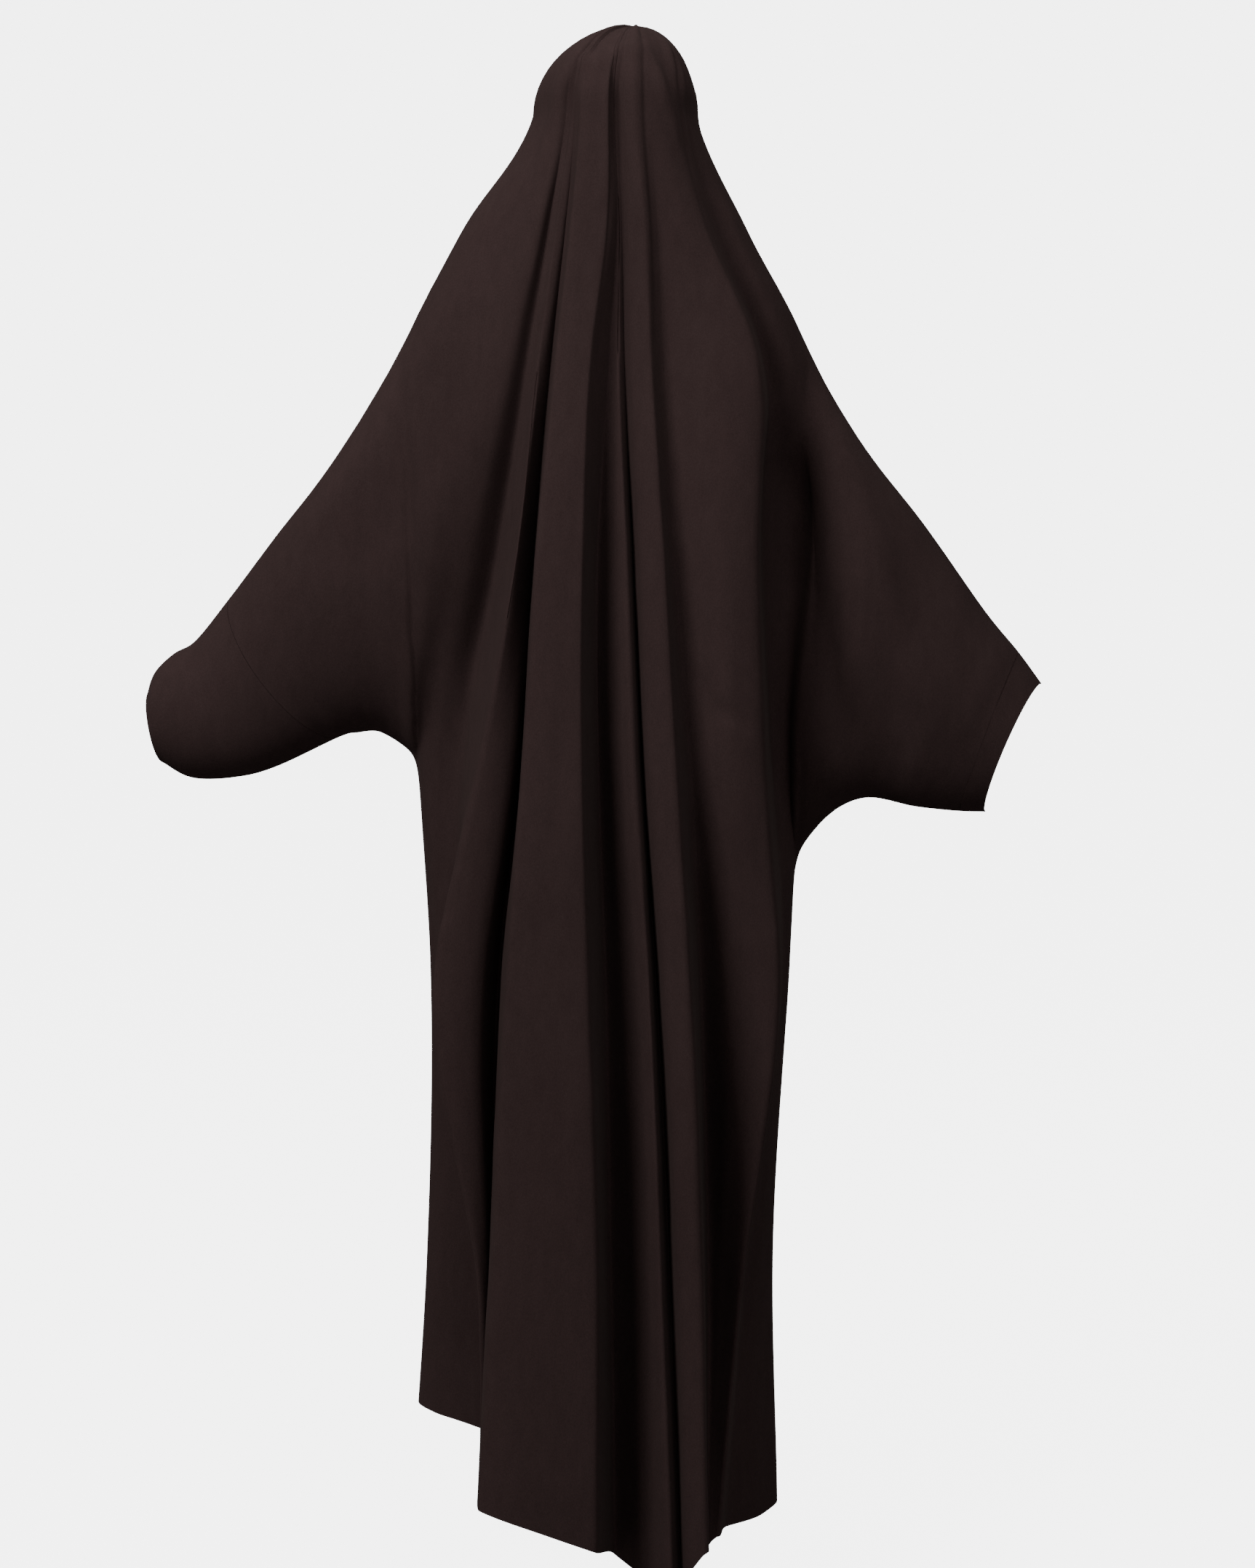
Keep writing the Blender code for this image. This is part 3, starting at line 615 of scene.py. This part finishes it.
def build_sleeve_end(hand, table, settings):
    """The end of a sleeve: a tube from its stitch line to its mouth."""
    bm = bmesh.new()
    seam = stitch_line(table)
    count = (len(table) - seam) * settings.columns_per_section

    def locate(alongs, turns):
        back = turns <= 1
        side = np.where(back, BACK_SIDE, FRONT_SIDE)
        stations = np.where(back, 2 + turns, 4 - turns)
        points = wing_points(hand, side, stations, alongs)
        points[:, 1] -= side * SEAM_GAP / 2
        return points

    add_net(bm, steps(seam + SLEEVE_CLEAR, len(table), count), steps(0, 2, 80), locate)
    finish_net(bm, flip=hand == "right")
    return bm


# Materials

def group_sockets(group, inputs, outputs):
    """Give a node group its named inputs with defaults, and its outputs."""
    for name, kind, value in inputs:
        socket = group.interface.new_socket(name, in_out="INPUT", socket_type=kind)
        if value is not None:
            socket.default_value = value
    for name, kind in outputs:
        group.interface.new_socket(name, in_out="OUTPUT", socket_type=kind)
    return group.nodes.new("NodeGroupInput"), group.nodes.new("NodeGroupOutput")


def crepe_grain():
    """Node group: tone, roughness and height of crepe, from its fine grain to its soft shading."""
    group = bpy.data.node_groups.new("crepe_grain", "ShaderNodeTree")
    given, result = group_sockets(
        group,
        (("Vector", "NodeSocketVector", None), ("Grain", "NodeSocketFloat", 0.0011),
         ("Crinkle", "NodeSocketFloat", 0.012)),
        (("Tone", "NodeSocketFloat"), ("Roughness", "NodeSocketFloat"),
         ("Height", "NodeSocketFloat")))
    nodes, links = group.nodes, group.links

    def noise(size, detail, rough, stretch=(1, 1, 1)):
        scaled = nodes.new("ShaderNodeVectorMath")
        scaled.operation = "DIVIDE"
        links.new(given.outputs["Vector"], scaled.inputs[0])
        joined_size = nodes.new("ShaderNodeVectorMath")
        joined_size.operation = "SCALE"
        joined_size.inputs[0].default_value = stretch
        if isinstance(size, float):
            joined_size.inputs["Scale"].default_value = size
        else:
            links.new(size, joined_size.inputs["Scale"])
        links.new(joined_size.outputs[0], scaled.inputs[1])
        made = nodes.new("ShaderNodeTexNoise")
        made.inputs["Scale"].default_value = 1.0
        made.inputs["Detail"].default_value = detail
        made.inputs["Roughness"].default_value = rough
        links.new(scaled.outputs[0], made.inputs["Vector"])
        return made.outputs["Fac"]

    def math(operation, a, b, clamp=False):
        node = nodes.new("ShaderNodeMath")
        node.operation = operation
        node.use_clamp = clamp
        for socket, value in zip(node.inputs, (a, b)):
            if isinstance(value, (int, float)):
                socket.default_value = value
            else:
                links.new(value, socket)
        return node.outputs[0]

    grain = noise(given.outputs["Grain"], 3.0, 0.65, (1, 1, 1.8))
    crinkle = noise(given.outputs["Crinkle"], 3.0, 0.55, (1, 1, 2.6))
    cloud = noise(0.16, 2.0, 0.5, (1, 1, 1.6))
    broad = math("ADD", math("MULTIPLY", crinkle, 0.20), math("MULTIPLY", cloud, 0.25))
    tone = math("ADD", math("MULTIPLY", grain, 0.55), broad)
    links.new(math("MULTIPLY_ADD", math("SUBTRACT", tone, 0.5), 1.6), result.inputs["Tone"])
    group.nodes[-1].inputs[2].default_value = 0.5
    rough = math("MULTIPLY", math("SUBTRACT", crinkle, 0.5), 0.25)
    links.new(math("ADD", rough, 0.80), result.inputs["Roughness"])
    height = math("ADD", math("MULTIPLY", grain, 0.3), math("MULTIPLY", crinkle, 0.7))
    links.new(height, result.inputs["Height"])
    return group


def crepe_material(name, settings):
    """Matt brown-black crepe."""
    material = bpy.data.materials.new(name)
    material.use_nodes = True
    nodes, links = material.node_tree.nodes, material.node_tree.links
    shader = nodes["Principled BSDF"]
    shader.inputs["Sheen Weight"].default_value = settings.sheen
    shader.inputs["Sheen Roughness"].default_value = 0.55
    shader.inputs["Sheen Tint"].default_value = (0.75, 0.62, 0.56, 1)
    shader.inputs["Specular IOR Level"].default_value = 0.0
    place = nodes.new("ShaderNodeTexCoord")
    grain = nodes.new("ShaderNodeGroup")
    grain.node_tree = bpy.data.node_groups.get("crepe_grain") or crepe_grain()
    grain.inputs["Grain"].default_value = settings.grain
    links.new(place.outputs["Object"], grain.inputs["Vector"])
    colour = nodes.new("ShaderNodeMix")
    colour.data_type = "RGBA"
    colour.inputs["A"].default_value = (*(0.62 * part for part in settings.colour), 1)
    colour.inputs["B"].default_value = (*(1.38 * part for part in settings.colour), 1)
    links.new(grain.outputs["Tone"], colour.inputs["Factor"])
    links.new(colour.outputs["Result"], shader.inputs["Base Color"])
    links.new(grain.outputs["Roughness"], shader.inputs["Roughness"])
    bump = nodes.new("ShaderNodeBump")
    bump.inputs["Strength"].default_value = 0.5
    bump.inputs["Distance"].default_value = 0.0012
    links.new(grain.outputs["Height"], bump.inputs["Height"])
    links.new(bump.outputs["Normal"], shader.inputs["Normal"])
    return material


def floor_material(colour):
    """Matt pale floor."""
    material = bpy.data.materials.new("floor_paint")
    material.use_nodes = True
    nodes, links = material.node_tree.nodes, material.node_tree.links
    shader = nodes["Principled BSDF"]
    shader.inputs["Base Color"].default_value = (*colour, 1)
    shader.inputs["Roughness"].default_value = 0.9
    shader.inputs["Specular IOR Level"].default_value = 0.1
    glow = nodes.new("ShaderNodeEmission")
    glow.inputs["Strength"].default_value = FLOOR_GLOW
    seen = nodes.new("ShaderNodeAddShader")
    links.new(shader.outputs[0], seen.inputs[0])
    links.new(glow.outputs[0], seen.inputs[1])
    rays = nodes.new("ShaderNodeLightPath")
    mix = nodes.new("ShaderNodeMixShader")
    links.new(rays.outputs["Is Camera Ray"], mix.inputs["Fac"])
    links.new(shader.outputs[0], mix.inputs[1])
    links.new(seen.outputs[0], mix.inputs[2])
    links.new(mix.outputs[0], nodes["Material Output"].inputs["Surface"])
    return material


# Settings, operators and panel

class JilbabSettings(bpy.types.PropertyGroup):
    """Sizes and colours of the cloth."""
    thickness: FloatProperty(name="Cloth", description="Thickness of the cloth", default=0.0012,
                             unit="LENGTH")
    ripple: FloatProperty(name="Ripples", description="Height of the slight waves",
                          default=0.0022, unit="LENGTH")
    colour: FloatVectorProperty(name="Crepe colour", description="Mean colour of the crepe",
                                default=(0.0275, 0.0173, 0.0168), subtype="COLOR")
    sheen: FloatProperty(name="Sheen", description="Soft light of the fibres at a slant",
                         default=0.02)
    grain: FloatProperty(name="Grain", description="Size of the crepe's grain", default=0.0011,
                         unit="LENGTH")
    column_width: FloatProperty(name="Column width", default=0.0055, unit="LENGTH",
                                description="Width of the net's columns at the hips")
    columns_per_section: IntProperty(name="Columns per section", default=14,
                                     description="Columns between two sections of an arm")


class JilbabStage(bpy.types.PropertyGroup):
    """Floor, light and camera."""
    floor_drop: FloatProperty(name="Floor", description="Depth of the floor below the crown",
                              default=1.79, unit="LENGTH")
    floor_colour: FloatVectorProperty(name="Floor colour", description="Colour of the floor",
                                      default=(0.30, 0.30, 0.30), subtype="COLOR")
    key_power: FloatProperty(name="Key light", description="Power of the main light in watts",
                             default=230.0)
    lens: FloatProperty(name="Lens", description="Focal length of the camera in millimetres",
                        default=67.56)


class PanelOperator:
    """What both lengths of cloth have in common."""
    bl_options = {"REGISTER", "UNDO"}

    def make(self, context, name, folds, side, creases, seed, flat, area):
        settings = context.scene.jilbab
        bm = build_panel(name, folds, side, creases, seed, settings)
        piece = wall(bm, name, [name + "_panel"], settings.thickness)
        piece.data.materials.append(crepe_material(name + "_crepe", settings))
        return {"FINISHED"}


class JILBAB_OT_back(PanelOperator, bpy.types.Operator):
    """Make the back length of cloth, from the crown over the arms to the hem"""
    bl_idname = "jilbab.back"
    bl_label = "Back"

    def execute(self, context):
        return self.make(context, "back", BACK_FOLDS, BACK_SIDE, BACK_CREASES, 11, (2.0, 1.80), 1.6)


class JILBAB_OT_front(PanelOperator, bpy.types.Operator):
    """Make the front length of cloth with its face opening"""
    bl_idname = "jilbab.front"
    bl_label = "Front"

    def execute(self, context):
        return self.make(context, "front", FRONT_FOLDS, FRONT_SIDE, (), 23, (1.7, 1.70), 1.1)


class JILBAB_OT_sleeve_ends(bpy.types.Operator):
    """Make the sewn end of the left sleeve and the hemmed end of the right one"""
    bl_idname = "jilbab.sleeve_ends"
    bl_label = "Sleeve ends"
    bl_options = {"REGISTER", "UNDO"}

    def execute(self, context):
        settings = context.scene.jilbab
        for hand, table, flat, area in (("left", LEFT_WING, (0.42, 0.20), 0.063),
                                        ("right", RIGHT_WING, (0.36, 0.05), 0.013)):
            bm = build_sleeve_end(hand, table, settings)
            piece = wall(bm, hand + "_cuff", [hand + "_sleeve_end"], settings.thickness)
            piece.data.materials.append(crepe_material(hand + "_cuff_crepe", settings))
        return {"FINISHED"}


class JILBAB_OT_stage(bpy.types.Operator):
    """Make the pale floor, the studio light and the camera"""
    bl_idname = "jilbab.stage"
    bl_label = "Stage"
    bl_options = {"REGISTER", "UNDO"}

    def execute(self, context):
        stage = context.scene.jilbab_stage
        bm = bmesh.new()
        bmesh.ops.create_circle(bm, cap_ends=True, segments=96, radius=60.0)
        bmesh.ops.translate(bm, verts=bm.verts, vec=(0, 0, -stage.floor_drop))
        mesh = bpy.data.meshes.new("floor")
        bm.to_mesh(mesh)
        bm.free()
        floor = bpy.data.objects.new("floor", mesh)
        context.scene.collection.objects.link(floor)
        mesh.materials.append(floor_material(stage.floor_colour))
        add_light("key", (-2.3, -2.5, 2.3), 1.6, stage.key_power)
        add_light("fill", (1.6, -3.6, 1.2), 2.4, stage.key_power * 0.10)
        add_light("top", (0.6, -1.6, 2.6), 1.6, stage.key_power * 0.30)
        add_light("back_left", (-2.4, 3.2, 1.0), 2.2, stage.key_power * 0.12)
        add_light("back_right", (2.6, 3.0, 0.8), 2.2, stage.key_power * 0.10)
        set_world(context.scene)
        camera = bpy.data.cameras.new("camera")
        camera.lens = stage.lens
        viewer = bpy.data.objects.new("camera", camera)
        viewer.location = (0.0105, -3.4, -0.588)
        viewer.rotation_euler = (radians(90 - 4.6), 0, 0)
        context.scene.collection.objects.link(viewer)
        context.scene.camera = viewer
        return {"FINISHED"}


def add_light(name, place, size, power):
    """Square soft light that points at the middle of the garment."""
    light = bpy.data.lights.new(name, "AREA")
    light.size = size
    light.energy = power
    lamp = bpy.data.objects.new(name, light)
    lamp.location = place
    lamp.rotation_euler = (Vector((0, 0, -0.8)) - Vector(place)).to_track_quat("-Z", "Y").to_euler()
    bpy.context.scene.collection.objects.link(lamp)


def set_world(scene):
    """Pale surroundings: as bright as the floor to the camera, dimmer as light."""
    world = bpy.data.worlds.new("studio")
    scene.world = world
    world.use_nodes = True
    nodes, links = world.node_tree.nodes, world.node_tree.links
    shown = nodes["Background"]
    shown.inputs["Color"].default_value = (1, 1, 1, 1)
    shown.inputs["Strength"].default_value = SKY_GLOW
    lit = nodes.new("ShaderNodeBackground")
    lit.inputs["Color"].default_value = (0.95, 0.98, 1.0, 1)
    lit.inputs["Strength"].default_value = 0.12
    rays = nodes.new("ShaderNodeLightPath")
    mix = nodes.new("ShaderNodeMixShader")
    links.new(rays.outputs["Is Camera Ray"], mix.inputs["Fac"])
    links.new(lit.outputs["Background"], mix.inputs[1])
    links.new(shown.outputs["Background"], mix.inputs[2])
    links.new(mix.outputs["Shader"], nodes["World Output"].inputs["Surface"])


class JILBAB_PT_panel(bpy.types.Panel):
    """Sidebar panel with the settings and the makers of all pieces"""
    bl_label = "Jilbab"
    bl_space_type = "VIEW_3D"
    bl_region_type = "UI"
    bl_category = "Jilbab"

    def draw(self, context):
        for group in (context.scene.jilbab, context.scene.jilbab_stage):
            for name in group.__annotations__:
                self.layout.prop(group, name)
        for operator in OPERATORS:
            self.layout.operator(operator.bl_idname)


OPERATORS = (JILBAB_OT_back, JILBAB_OT_front, JILBAB_OT_sleeve_ends, JILBAB_OT_stage)
CLASSES = (JilbabSettings, JilbabStage) + OPERATORS + (JILBAB_PT_panel,)


def register():
    for item in CLASSES:
        bpy.utils.register_class(item)
    bpy.types.Scene.jilbab = PointerProperty(type=JilbabSettings)
    bpy.types.Scene.jilbab_stage = PointerProperty(type=JilbabStage)


def unregister():
    del bpy.types.Scene.jilbab_stage
    del bpy.types.Scene.jilbab
    for item in reversed(CLASSES):
        bpy.utils.unregister_class(item)


def main():
    """Make all pieces."""
    register()
    for operator in (bpy.ops.jilbab.back, bpy.ops.jilbab.front, bpy.ops.jilbab.sleeve_ends,
                     bpy.ops.jilbab.stage):
        operator()


if __name__ == "__main__":
    main()
